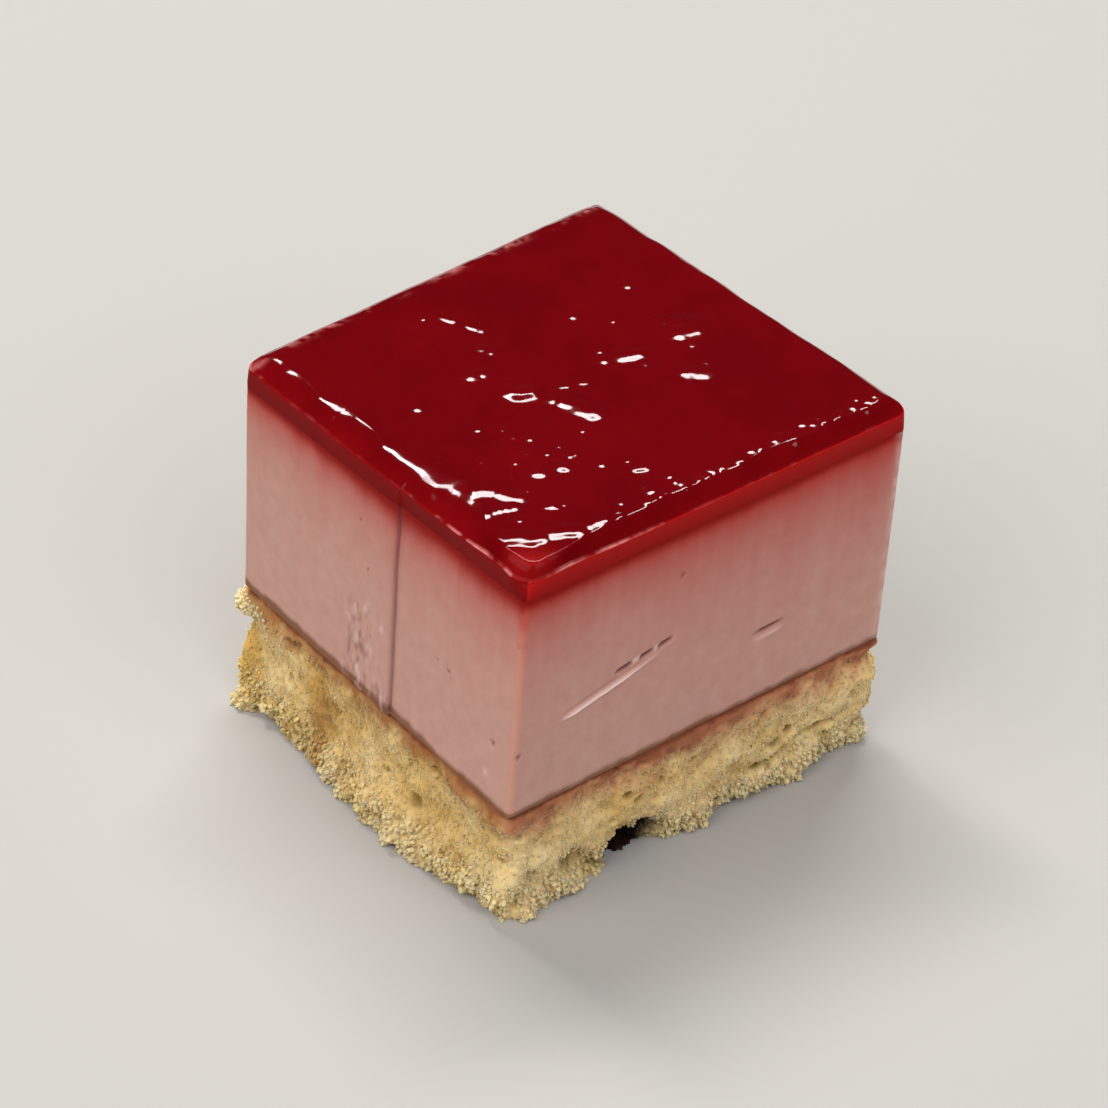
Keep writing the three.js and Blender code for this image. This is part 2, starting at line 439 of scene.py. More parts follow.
# %% [markdown]
# Low on the right a whole crumb is missing. The hole's rim is ragged, because noise is added to the place
# before it is measured. A crack runs along the same face, and at the left corner a flake hangs out under
# the mousse.

# %% Hole, crack and flake
NOTCH_Y, NOTCH_Z, NOTCH_HALF_WIDTH, NOTCH_HALF_HEIGHT, NOTCH_DEPTH = -5.9, 1.3, 2.4, 1.6, 4.2
FLAKE_Z, FLAKE_OUT = 8.7, 1.4

ragged_y, ragged_z = y + 0.7 * lumps(upright, 1.1, 57), z + 0.6 * lumps(upright, 0.9, 58)
notch = on_right * hump(ragged_y, NOTCH_Y, NOTCH_HALF_WIDTH) * hump(ragged_z, NOTCH_Z, NOTCH_HALF_HEIGHT)
crack_z = 3.3 + 0.1 * (y - 4.5) + 0.5 * lumps(upright * [1, 1, 0], 1.4, 43)
crack = on_right * hump(z, crack_z, 0.35) * window(y, 3.5, 6, 14.5, 16.5)
flake = hump(left_corner, 0.4, 1.3) * hump(z, FLAKE_Z, 0.7)
print(f"hole {NOTCH_DEPTH * notch.max():.1f} mm deep")

# %% [markdown]
# Single pits and mounds catch the eye. Noise would put them anywhere, so they are listed: the way along the
# face, the height and the half width.

# %% Pits and mounds
FRONT_PITS = [(6.1, 4.5, 0.9), (2.6, 1.3, 0.5)]
RIGHT_PITS = [(-11.5, 2.6, 0.9), (-6.5, 6.8, 0.5), (8.9, 5.1, 0.45), (7.5, 4.6, 0.6), (5.7, 3.3, 0.5),
              (1.9, 2.0, 0.45)]
FRONT_MOUNDS = [(15.6, 2.8, 2.4), (5.3, 1.2, 1.6), (-11.6, 4.1, 2.4), (-3.6, 1.2, 1.6), (0.5, 5.2, 1.6)]
RIGHT_MOUNDS = [(13.6, 5.4, 2.2), (10.5, 7.1, 1.6), (-2.0, 3.2, 1.9), (-14.8, 5.0, 2.2), (3.6, 5.6, 1.4)]


def bells(front, right, squash, ragged):
    """The highest bell at each point, of its distance to a listed place plus a noise that frays the rim."""
    highest = np.zeros_like(z)
    for face, along, listed in ((on_front, x, front), (on_right, y, right)):
        for spot, level, width in listed:
            gap = np.hypot(along - spot, (z - level) * squash) + width * ragged
            highest = np.maximum(highest, face * hump(gap, 0, width))
    return highest


pits = bells(FRONT_PITS, RIGHT_PITS, 1.3, 0.4 * lumps(upright, 0.6, 59))
mounds = bells(FRONT_MOUNDS, RIGHT_MOUNDS, 1.0, 0.35 * lumps(upright, 1.2, 62))
print(f"pits on {(pits > 0.5).mean():.1%} of the wall, mounds on {(mounds > 0.5).mean():.1%}")

# %% [markdown]
# All pushes are added up. Close under the mousse juice holds the crumb together, so the relief calms down
# there, and the wall steps back by a third of a millimetre.

# %% Sponge skin
calm = 0.6 + 0.4 * soft_step(below, 0.1, 1.4)
push = (crags + foam + tufts + bubbles) * calm + bulge + FLAKE_OUT * flake + 0.25 * mounds
push = push - 0.8 * pits - 0.35 * crack - 0.6 * undercut - NOTCH_DEPTH * notch
push = push - inset - 0.3 * (1 - soft_step(below, 0, 0.6))
sponge_rings = settle(pushed(upright, out, push))
print(f"sponge pushed {push.min():.2f}..{push.max():.2f} mm")

# %% [markdown]
# The masks say where the finish changes. The low band is paler; tufts, mounds and the front corner are
# painted paler still, as painted light, and pores, the crack and pits golden, as painted shade, so relief
# and colour agree. On the front the soaked band is tan, with a brown run of juice; on the right it is rosy,
# with a darker streak. The change is spread round the corner, so no line shows.

# %% Where the sponge is pale or painted lit, painted shaded or soaked
right_share = soft_step(out[:, 0], 0.1, 0.95)
brown = on_front * hump(x + 0.3 * lumps(upright, 1.0, 54), -6.2, 1.3) * (1 - soft_step(z, 6.0, 9.0))
# Paler crumb: partly its own tone low down, on the right face and on the flake, partly painted light on
# tufts, mounds and round the front corner.
pale_and_lit_mask = 0.24 + 0.3 * low_down + 0.7 * tufts + 0.3 * right_share + 0.3 * lumps(upright, 2.5, 55)
pale_and_lit_mask = pale_and_lit_mask + 0.35 * lumps(upright, 4.6, 60) + 0.2 * lumps(upright, 0.6, 56) - 0.6 * brown
pale_and_lit_mask = np.clip(pale_and_lit_mask + 0.5 * mounds + 0.2 * hump(front_corner, 0, 6) + 0.7 * flake, 0, 1)
# Painted shade: pores, the crack and the pits are painted golden, less so under tufts and mounds.
pore_shade_mask = np.clip(-1.3 * (foam + bubbles) - 0.7 * tufts + 0.6 * crack + pits - 0.2 * mounds, 0, 1)

reach = below + 0.9 * lumps(upright, 1.3, 51) + 0.5 * lumps(upright, 0.5, 53)
tan_mask = (0.95 - 0.75 * right_share) * (1 - soft_step(reach, 0.3, 3.4))
soak_mask = np.maximum(tan_mask, 0.5 * brown) * (1 - flake)
rosy_mask = 0.88 * right_share * (1 - soft_step(reach, 0.3, 3.8))
# The brown line under the mousse is partly juice stain, partly painted shadow where the mousse overhangs the
# stepped-back crumb.
stain_and_shadow_line_mask = 1 - soft_step(below + 0.12 * lumps(upright, 0.5, 52), 0.25, 0.7)
stain_and_shadow_line_mask = stain_and_shadow_line_mask * (1 - 0.35 * on_front * soft_step(x, 5, 10))
streak = right_share * (0.5 + 0.35 * hump(y, -6.0, 6.0)) * (1 - soft_step(reach, 0.2, 2.0))
stain_and_shadow_line_mask = np.maximum(stain_and_shadow_line_mask, streak) * (1 - flake)
# Painted shadow: the inside of the hole and, more weakly, the pits are painted near black, where shade
# falls.
notch_and_pit_shade_mask = np.maximum(soft_step(notch, 0.12, 0.45), 0.3 * soft_step(pits, 0.3, 0.9))
print(f"mean paleness {pale_and_lit_mask.mean():.2f}, soaked {soak_mask.mean():.2f}")

# %% Sponge piece
points, faces = ring_skin(sponge_rings)
sponge = make_piece("sponge_base", points, faces, sponge_finish, "sponge",
                    pale=with_ends(pale_and_lit_mask, 0.5, 0.5), depth=with_ends(pore_shade_mask, 0.5, 0.5),
                    soaked=with_ends(soak_mask, 0.5, 0.5), stain=with_ends(stain_and_shadow_line_mask, 0.5, 0.5),
                    dark=with_ends(notch_and_pit_shade_mask), rosy=with_ends(rosy_mask))
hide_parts("sponge")

# %% [markdown]
# ## Crumbs
# Torn sponge has crumbs that hang on by a corner, most of all along the lower edge. A particle system could
# strew them, but would be harder to keep as one plain mesh. Here seats are drawn from one seeded generator:
# they crowd towards the table, and a cluster sits on the flake.

# %% Seats for the crumbs
CRUMBS, FLAKE_CRUMBS = 24000, 200
draw = np.random.default_rng(7)
row = 2 + (draw.random(CRUMBS) ** 1.4 * (SPONGE_ROWS - 8)).astype(int)
column = draw.integers(0, SPONGE_POINTS, CRUMBS)
flake_row, flake_column = np.argmin(np.abs(height - 8.6)), np.argmin(at.sum(-1))
row[:FLAKE_CRUMBS] = flake_row + draw.normal(0, 4, FLAKE_CRUMBS).astype(int)
column[:FLAKE_CRUMBS] = (flake_column + draw.normal(0, 8, FLAKE_CRUMBS).astype(int)) % SPONGE_POINTS
print(f"{CRUMBS} crumbs, half of them below {np.median(sponge_rings[row, column, 2]):.1f} mm")

# %% [markdown]
# One crumb is an octahedron with its six tips drawn out by different amounts: an angular granule that costs
# only eight triangles. Each is turned at random, larger low down, smaller in pits, and drawn out the way it
# hangs.

# %% Crumb shapes
TIPS = np.array([[1, 0, 0], [0, 1, 0], [0, 0, 1], [-1, 0, 0], [0, -1, 0], [0, 0, -1]], float)
SIDES = np.array([[0, 1, 2], [1, 3, 2], [3, 4, 2], [4, 0, 2], [1, 0, 5], [3, 1, 5], [4, 3, 5], [0, 4, 5]])

lower = low_down[row, column]
size = 0.06 + (0.07 + 0.13 * lower) * draw.random(CRUMBS) ** 2
size[:FLAKE_CRUMBS] += 0.08
size *= 1 - 0.6 * pits[row, column]
stretch = 0.8 + 0.6 * draw.random((CRUMBS, len(TIPS), 1))
turn = np.linalg.qr(draw.normal(size=(CRUMBS, 3, 3)))[0]
turn *= np.sign(np.linalg.det(turn))[:, None, None]
shapes = np.einsum("cij,cnj->cni", turn, TIPS * stretch) * size[:, None, None]
hang = np.concatenate([out[column], -0.35 * np.ones((CRUMBS, 1))], -1)
hang = hang / np.linalg.norm(hang, axis=1, keepdims=True)
drawn = (0.6 * lower * draw.random(CRUMBS))[:, None] * np.einsum("cni,ci->cn", shapes, hang)
shapes = shapes + drawn[..., None] * hang[:, None]
print(f"crumbs of {2 * size.min():.2f} to {2 * size.max():.2f} mm")

# %% [markdown]
# Every crumb sits half sunk in the wall and takes its masks from there, a little paler or darker. All of
# them are one mesh.

# %% Crumbs on the sponge
stand_off = (size * (0.5 + 0.8 * lower * draw.random(CRUMBS)))[:, None] * out[column]
seat = sponge_rings[row, column] + np.concatenate([stand_off, np.zeros((CRUMBS, 1))], -1)
points = (shapes + seat[:, None]).reshape(-1, 3)
faces = (SIDES + len(TIPS) * np.arange(CRUMBS)[:, None, None]).reshape(-1, 3).tolist()
points[:, 2] = np.maximum(points[:, 2], 0.01)
paleness = pale_and_lit_mask[row, column] + draw.uniform(-0.1, 0.3, CRUMBS)
paleness[:FLAKE_CRUMBS] += 0.5
soaked_in = soak_mask[row, column]
soaked_in[:FLAKE_CRUMBS] = 0
crumb_masks = {"pale": np.clip(paleness, 0, 1), "depth": 0.6 * pore_shade_mask[row, column],
               "soaked": soaked_in, "stain": stain_and_shadow_line_mask[row, column],
               "dark": notch_and_pit_shade_mask[row, column], "rosy": rosy_mask[row, column]}
make_piece("sponge_crumbs", points, faces, sponge_finish, "sponge",
           **{mask: np.repeat(values, len(TIPS)) for mask, values in crumb_masks.items()})

# %% [markdown]
# ## Mousse finish
# Fruit mousse is whipped cream and fruit set with gelatine: a soft satin pink that light sinks into a
# little. Red juice has bled down from the jelly, and brown juice has stained the foot. Mottling and the
# blade's streaks are noises, one of them stretched upright; all that has a place is a mask again, and so is
# painted light: shade in grooves and pits, highlights on torn lips and the right edge, and a glow along the
# upright edges.

# %% Mousse material
STREAK_WIDTH, MOTTLE_SIZE = 0.9, 1.3   # mm
MOUSSE_TINTS = [("edge", "#cc917c"), ("bleed", "#b31c16"), ("skin", "#870b07"), ("stained", "#7c5133"),
                ("hollow", "#6e403a"), ("raised", "#ecd3ca")]


def two_tone(tree, amount, stops):
    """A ramp between two colours, given as (place, colour) pairs."""
    ramp = add(tree, "ValToRGB", {"Fac": amount})
    for element, (position, code) in zip(ramp.color_ramp.elements, stops):
        element.position, element.color = position, srgb(code)
    return ramp.outputs["Color"]


mousse_finish, tree, output = material("cut_fruit_mousse")
place = add(tree, "TexCoord").outputs["Object"]
upright_map = add(tree, "Mapping", {"Vector": place, "Scale": (1, 1, 0.12)})
streaks = noise(tree, upright_map.outputs[0], STREAK_WIDTH, 3.0)
cream = two_tone(tree, noise(tree, place, MOTTLE_SIZE, 4.0), [(0.3, "#c49789"), (0.7, "#cb9f91")])
drag = add(tree, "MapRange", {"Value": streaks, 1: 0.45, 2: 0.75, 3: 0.0, 4: 0.07})
dragged = add(tree, "Mix", {0: drag.outputs[0], 6: cream, 7: srgb("#b8867a")}, data_type="RGBA")
colour = dragged.outputs[2]
for mask, code in MOUSSE_TINTS:
    colour = tint(tree, mask, colour, code)
bump = add(tree, "Bump", {"Height": streaks, "Strength": 0.07, "Distance": 0.1 * MM})
cream_shader = add(tree, "BsdfPrincipled", {
    "Base Color": colour, "Roughness": 0.55, "Specular IOR Level": 0.06, "Normal": bump.outputs["Normal"],
    "Subsurface Weight": 0.25, "Subsurface Radius": (1.0, 0.45, 0.35), "Subsurface Scale": 0.5 * MM})
tree.links.new(cream_shader.outputs[0], output.inputs[0])
print("finish:", mousse_finish.name)

# %% [markdown]
# ## Mousse
# The block was cut with a warm blade. Its front took two strokes, so one half stands a sixth of a
# millimetre proud of the other. Such marks could be a bump texture, but cut into the skin they hold from
# every side. Flat faces need few points, so more places are spent at the seam and more rings at the
# scratches.

# %% Mousse rings
MOUSSE_POINTS, SEAM_POINTS, CUT_CORNER = 860, 60, 0.45
STEP_X, STEP_OUT = 2.3, 0.17
SCRATCHED = (16, 21)   # mm, heights between which the scratches lie


def seam_stray(p):
    """How far the seam strays to the side, by height alone."""
    return 0.12 * lumps(p * [0, 0, 1], 4.0, 63)


def cut_push(p, out):
    """How far a cut face stands out: broad waves of the blade, and the step before the seam on the front."""
    before = (out[..., 1] < -0.7) * (1 - soft_step(p[..., 0] - STEP_X - seam_stray(p), -0.1, 0.1))
    return 0.08 * lumps(p, 7.5, 61) + STEP_OUT * before


round_length = 4 * (2 * (HALF - CUT_CORNER) + CUT_CORNER * np.pi / 2)
seam_way = (STEP_X + np.linspace(-0.9, 0.9, SEAM_POINTS) + HALF - CUT_CORNER) / round_length
walk = np.sort(np.concatenate([np.arange(MOUSSE_POINTS) / MOUSSE_POINTS, seam_way]))
at, out = outline(walk, CUT_CORNER)
foot_up, marks_up = np.linspace(SPONGE_TOP, SCRATCHED[0], 24), np.linspace(*SCRATCHED, 48)
height = np.concatenate([foot_up[:-1], marks_up[:-1], np.linspace(SCRATCHED[1], MOUSSE_TOP, 34)])
upright = stack_up(at, height)
x, y, z = at[:, 0], at[:, 1], upright[..., 2]
on_front, on_right = out[:, 1] < -0.7, out[:, 0] > 0.7
print(f"mousse rings: {len(height)} of {len(at)} places")

# %% [markdown]
# Where the strokes met, a crease runs down the front. Left of it the mousse is smeared low down, and at its
# foot a little was pulled over the sponge. The smear is a soft patch of two fine noises, stretched upright,
# the way that the blade went.

# %% Seam and smear
from_seam = x - STEP_X - seam_stray(upright)
crease = on_front * hump(from_seam, 0.12, 0.11)
low_down = 1 - soft_step(z, SPONGE_TOP + 5.0, SPONGE_TOP + 10.5)
near_foot = 1 - soft_step(z, SPONGE_TOP + 0.5, SPONGE_TOP + 3.0)
smear = on_front * (low_down * hump(from_seam, -4.0, 1.6) + near_foot * hump(from_seam, -1.2, 1.0))
rough = 0.1 * lumps(upright * [1, 1, 0.5], 0.8, 64) + 0.06 * lumps(upright * [1, 1, 0.4], 0.35, 65)
pulled_down = 0.4 * on_front * hump(x, 1.2, 1.0) * (1 - soft_step(z, SPONGE_TOP, SPONGE_TOP + 1.5))
print(f"smear to {np.abs(smear * rough).max():.2f} mm")

# %% [markdown]
# The right face has a long scratch with a raised lip, a slit above it that opens in three parts, and a
# short dash. Each is a stroke between two ends: its strength fades there, and across it a lip or a groove
# is a bell.

# %% Scratch, slit and dash
SCRATCH = ((-13.1, 17.45), (-4.2, 19.5))   # ends of each mark, along the face and in height
SLIT = ((-8.6, 19.4), (-3.2, 20.25))
SLIT_PARTS = ((-8.6, -6.9), (-6.4, -5.0), (-4.75, -3.3))
DASH = ((4.3, 16.75), (7.2, 16.95))


def stroke(along, z, ends, half_width):
    """How strong a mark is along its way, fading at both ends, and the place across it in half widths."""
    start, end = np.array(ends)
    length = np.linalg.norm(end - start)
    way = (end - start) / length
    forward = (along - start[0]) * way[0] + (z - start[1]) * way[1]
    across = (z - start[1]) * way[0] - (along - start[0]) * way[1]
    return window(forward, -0.3, 1.0, length - 1.0, length + 0.3), across / half_width


strength, across = stroke(y, z, SCRATCH, 0.15)
strength = strength * (1 - 0.8 * soft_step(y, -8.5, -4.5))
scratch = on_right * strength * (0.22 * hump(across, -0.4, 1.1) - 0.12 * hump(across, 1.8, 1.0))
strength, across = stroke(y, z, SLIT, 0.2)
parted = sum(window(y, start, start + 0.3, end - 0.3, end) for start, end in SLIT_PARTS)
slit = on_right * strength * hump(across, 0, 0.9) * parted
slit_bits = on_right * strength * hump(across, 0.8, 1.0) * (1 - parted)
strength, across = stroke(y, z, DASH, 0.18)
dash = on_right * strength * hump(across, 0, 0.9)
dash_lip = on_right * strength * hump(across, -3.8, 1.2)
print(f"scratch {scratch.min():.2f}..{scratch.max():.2f} mm")

# %% [markdown]
# The blade also opened a few air bubbles: pits of a tenth or two of a millimetre, at seeded places round
# the block.

# %% Air pits
AIR_PITS = 13
draw = np.random.default_rng(12)
air_places = zip(draw.random(AIR_PITS), draw.uniform(12, 27, AIR_PITS), draw.uniform(0.08, 0.2, AIR_PITS))
ragged = 1 + 0.5 * lumps(upright, 0.5, 66)
air = np.zeros_like(z)
for spot, level, radius in air_places:
    middle = outline(np.array([spot]), CUT_CORNER)[0][0]
    gap = np.linalg.norm(upright - [*middle, level], axis=-1) * ragged
    air += 1 - soft_step(gap, 0.3 * radius, 1.3 * radius)
print(f"air pits on {(air > 0.5).sum()} points")

# %% [markdown]
# The pushes are added up, with a faint upright grain where the blade dragged. Foot and top stay flush with
# their neighbours.

# %% Mousse skin
push = cut_push(upright, out) + 0.02 * lumps(upright * [1, 1, 0.06], 0.7, 62) + smear * rough
push += scratch + 0.1 * dash_lip - 0.09 * crease - 0.55 * slit - 0.16 * dash - 0.25 * air
mousse_rings = settle(pushed(upright, out, push, pulled_down))
print(f"mousse pushed {push.min():.2f}..{push.max():.2f} mm")

# %% [markdown]
# Juice sinks into mousse as dye into wet paper, weaker by the same share with every millimetre, and further
# on the right: exp(-depth / reach). The uppermost millimetre, here called the skin, is almost as dark as
# the jelly. A curtain of upright noise makes both uneven.

# %% Bleeding juice
below = MOUSSE_TOP - z
front_corner, right_corner = from_corner(at, 1, -1), from_corner(at, 1, 1)
tall = upright * [1, 1, 0.12]
curtain = lumps(tall, 1.6, 67) + 0.6 * lumps(tall, 0.6, 68)
bleed_reach = np.where(on_right, 4.1 + 2.2 * soft_step(y, -14, 12), 3.6 - 0.7 * soft_step(-x, 8, 16))
bleed_mask = np.exp(-below / (bleed_reach * (1 + 0.18 * curtain)))
corner_run = 0.7 * hump(front_corner, 0.2, 0.9) * (1 - soft_step(below, 1.8, 4.4))
corner_drop = 0.5 * hump(front_corner, 0.3, 0.5) * hump(below, 3.9, 0.5)
bleed_mask = np.maximum(bleed_mask, np.maximum(corner_run, corner_drop))
front_reach = np.interp(x, [-16, -11, -7, -2, 6], [0.55, 0.8, 0.95, 1.35, 1.25])
skin_reach = np.where(on_right, 0.75 - 0.15 * soft_step(y, 0, 9), front_reach) * (1 + 0.25 * curtain)
skin_mask = 0.95 * np.exp(-((below / skin_reach) ** 2))
print(f"bleed reaches {bleed_reach.min():.1f} to {bleed_reach.max():.1f} mm")

# %% [markdown]
# Marks take painted light and shade: grooves, pits and the slit get painted shade, specks are darker, torn
# lips and the right edge get painted highlights, flecks are pale, the upright edges a painted warm glow of
# light through their thin rims, and brown juice has crept up the foot, higher on the front's left half.

# %% Marks with painted shade and highlights, and the stained foot
FLECKS = ((14.2, 12.7), (-1.1, 18.2), (1.0, 17.6))   # single pale flecks on the front
SPECK_LINE = ((-3.1, 12.3), (-2.5, 15.4))

specks = lumps(upright * [1, 1, 0.4], 0.32, 69) + 0.3 * lumps(upright, 1.2, 70)
strength, across = stroke(x, z, SPECK_LINE, 0.13)
specks = np.maximum(smear * soft_step(specks, 0.0, 0.7), on_front * strength * hump(across, 0, 1.0))
# Painted shade: air pits, the crease and seam, the slit and the dash are darkened, and so are the specks.
groove_shade_mask = 0.8 * air + 0.25 * crease + 0.3 * on_front * hump(from_seam, 0.1, 0.36)
groove_shade_mask = np.clip(groove_shade_mask + 1.4 * slit + 1.0 * dash + 0.5 * specks, 0, 1)
flecks = smear * soft_step(lumps(upright * [1, 1, 0.4], 0.32, 79), 0.1, 0.8)
for spot, level in FLECKS:
    flecks = flecks + on_front * hump(np.hypot(x - spot, 0.6 * (z - level)), 0, 0.2)
# Painted highlights: the lips of the scratch and dash, bits beside the slit and a rim along the right edge
# are painted pale, as if catching light; the flecks are pale.
rim_highlight = hump(right_corner, 0.2, 0.5) * (0.5 + 0.5 * lumps(upright, 0.9, 80))
highlight_and_fleck_mask = 4.5 * np.maximum(scratch, 0) + 0.35 * dash_lip + 0.5 * flecks
highlight_and_fleck_mask = np.clip(highlight_and_fleck_mask + 0.6 * slit_bits + 0.8 * rim_highlight, 0, 1)
# Painted glow: the upright edges are painted warmer and lighter, for light passing through their thin rims.
edge_glow_mask = 0.7 * (hump(front_corner, 0.1, 0.45) + hump(right_corner, 0.2, 0.4)) * np.ones_like(z)
above = z - SPONGE_TOP + 0.2 * lumps(upright, 0.9, 83) - 0.4 * on_front * (1 - soft_step(x, 2, 11))
foot_mask = 0.9 * (1 - soft_step(above, 0.1, 0.6))
print(f"dark marks on {(groove_shade_mask > 0.3).mean():.1%} of the skin")

# %% [markdown]
# The fans that close the mousse lie inside the cake. Only the upper one is soaked with juice.

# %% Mousse piece
points, faces = ring_skin(mousse_rings)
mousse = make_piece("mousse_block", points, faces, mousse_finish, "mousse",
                    bleed=with_ends(bleed_mask, over=1), skin=with_ends(skin_mask, over=1),
                    edge=with_ends(edge_glow_mask), stained=with_ends(foot_mask),
                    hollow=with_ends(groove_shade_mask), raised=with_ends(highlight_and_fleck_mask))
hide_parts("mousse")

# %% [markdown]
# ## Jelly finish
# Fruit jelly is wet, clear and deeply coloured: the thick top is dark red, and the thin cut side glows
# brighter. Glass with absorption would show this too, but slowly and with noise, so the colour is a mask
# from thick to thin. A low roughness makes the top almost a mirror, with small sharp glints; cut sides are
# duller.

# %% Jelly material
CLOUD_SIZE = 6.0   # mm
jelly_finish, tree, output = material("set_fruit_jelly")
place = add(tree, "TexCoord").outputs["Object"]
deep = two_tone(tree, noise(tree, place, CLOUD_SIZE, 3.0), [(0.35, "#550105"), (0.7, "#5e0207")])
# The pale pink rim tint is partly shreds of jelly, partly a painted highlight on the edge.
colour = tint(tree, "frayed", tint(tree, "thin", deep, "#b71c18"), "#c0706c")
cut, dry = (add(tree, "Attribute", attribute_name=mask).outputs["Fac"] for mask in ("cut", "dry"))
dull = add(tree, "MapRange", {"Value": dry, 3: 0.085, 4: 0.45})
shine = add(tree, "MapRange", {"Value": cut, 3: 0.5, 4: 0.05})
jelly_shader = add(tree, "BsdfPrincipled", {
    "Base Color": colour, "Roughness": dull.outputs[0], "Specular IOR Level": shine.outputs[0], "IOR": 1.4,
    "Subsurface Weight": 0.1, "Subsurface Radius": (1.0, 0.12, 0.1), "Subsurface Scale": 1.0 * MM})
tree.links.new(jelly_shader.outputs[0], output.inputs[0])
print("finish:", jelly_finish.name)

# %% [markdown]
# ## Jelly
# The jelly's top is a height over the plan, so a square grid suits it. Rings would crowd in the middle,
# where the glints are. The grid's corners are drawn in to round ones, widest at the front corner, where the
# soft jelly is worn.

# %% Grid with round corners
JELLY_CELLS, EDGE_ROUND = 268, 0.12
FRONT_CORNER, OTHER_CORNERS = 1.9, 0.6


def rounded_grid(cells, half, front_corner, other_corners):
    """Even square grid; near a corner, offsets from the arc's middle are scaled by max(dx, dy) / length,
    which takes the square's edge to the arc."""
    line = np.linspace(-half, half, cells + 1)
    x, y = np.meshgrid(line, line, indexing="ij")
    corner = np.where((x > 0) & (y < 0), front_corner, other_corners)[..., None]
    over = np.stack([np.abs(x), np.abs(y)], -1) - (half - corner)
    both = (over > 0).all(-1)
    scale = np.where(both, over.max(-1) / np.maximum(np.linalg.norm(over, axis=-1), 1e-9), 1)
    moved = np.where(both[..., None], over * scale[..., None], over) + (half - corner)
    return np.stack([np.sign(x) * moved[..., 0], np.sign(y) * moved[..., 1]], -1)


grid = rounded_grid(JELLY_CELLS, HALF - EDGE_ROUND, FRONT_CORNER - EDGE_ROUND, OTHER_CORNERS - EDGE_ROUND)
gx, gy = grid[..., 0], grid[..., 1]
flat = np.concatenate([grid, np.zeros_like(grid[..., :1])], -1)
print("jelly grid:", gx.size, "points")

# %% [markdown]
# Towards each cut edge the surface drops over a shoulder, a power of the way to the edge. Above the front
# the blade dragged it, so its width is listed along the edge, and it starts gently in some stretches and
# with a break in others. At the round front corner, front and right share one drop.

# %% Edges that drop
FRONT_X = [-13.8, -12.2, -9.5, -7, -4, -1.6, 0.6, 3.5, 5.5, 8, 11, 12, 14.3, HALF]
FRONT_WIDTHS = [1.7, 1.9, 1.7, 2.4, 2.0, 1.7, 2.4, 2.7, 2.9, 2.5, 1.4, 1.1, 1.1, 1.0]
GENTLE_PARTS = ((-14.2, -12.0), (-9.8, -6.8), (-1.9, 5.2), (11.8, 14.6))

wavy = 1 + 0.2 * lumps(flat, 3.1, 71) + 0.1 * lumps(flat, 1.3, 72)
front_width = np.interp(gx, FRONT_X, FRONT_WIDTHS)
gentle = sum(window(gx, start - 1.0, start + 0.8, end - 0.8, end + 1.0) for start, end in GENTLE_PARTS)
front_drop = 0.9 + 0.3 * soft_step(gx, -16.8, -12.5)
right_width = 0.9 + 0.6 * soft_step(gy, -13, -8)
to_front, to_right = np.maximum(FRONT_CORNER - gy - HALF, 0), np.maximum(FRONT_CORNER - HALF + gx, 0)
round_in = FRONT_CORNER - np.hypot(to_front, to_right)
front_share = to_front ** 2 / np.maximum(to_front ** 2 + to_right ** 2, 1e-9)
front_in, front_part = np.where(to_right > 0, [round_in, front_share], [gy + HALF, np.ones_like(gy)])
right_in, right_part = np.where(to_front > 0, [round_in, 1 - front_share], [HALF - gx, np.ones_like(gx)])
rims = [(front_in, front_width, front_drop * front_part, 1.3 + 0.7 * gentle),   # way in, width, drop, power
        (right_in, right_width, 1.2 * right_part, 1.45), (HALF - gy, 0.9, 0.7, 2), (gx + HALF, 1.0, 0.5, 2)]
falls = [drop * np.clip(1 - inward / (width * wavy), 0, 1) ** power for inward, width, drop, power in rims]
fall = np.cbrt((falls[0] + falls[1]) ** 3 + falls[2] ** 3 + falls[3] ** 3)
print(f"the edges drop by up to {fall.max():.2f} mm")

# %% [markdown]
# The top is nearly level. Soft ripples cover it, finer ones run along the -X edge, the +Y edge waves up and
# down, and the front corner sinks a little.

# %% Ripples
ripple = 0.08 * lumps(flat, 5.0, 73) + 0.01 * lumps(flat, 1.7, 74)
ripple += 0.05 * lumps(flat, 1.0, 75) * hump(gx + HALF, 0.6, 0.8)
ripple += 0.26 * lumps(flat, 2.6, 84) * hump(HALF - gy, 0, 1.8)
corner_gap = from_corner(grid, 1, -1)
corner_fall = 0.3 * hump(corner_gap, 0, 2.4)
print(f"ripples {ripple.min():.2f}..{ripple.max():.2f} mm")

# %% [markdown]
# Glints on the jelly are mirror pictures of a lamp in small swellings. Painted white, they would be wrong
# from every other side, so the swellings are built. Each is listed by its half width and by where its glint
# lies: a dot, or a line between two ends. A line that runs away from the eye is a chain of dots.

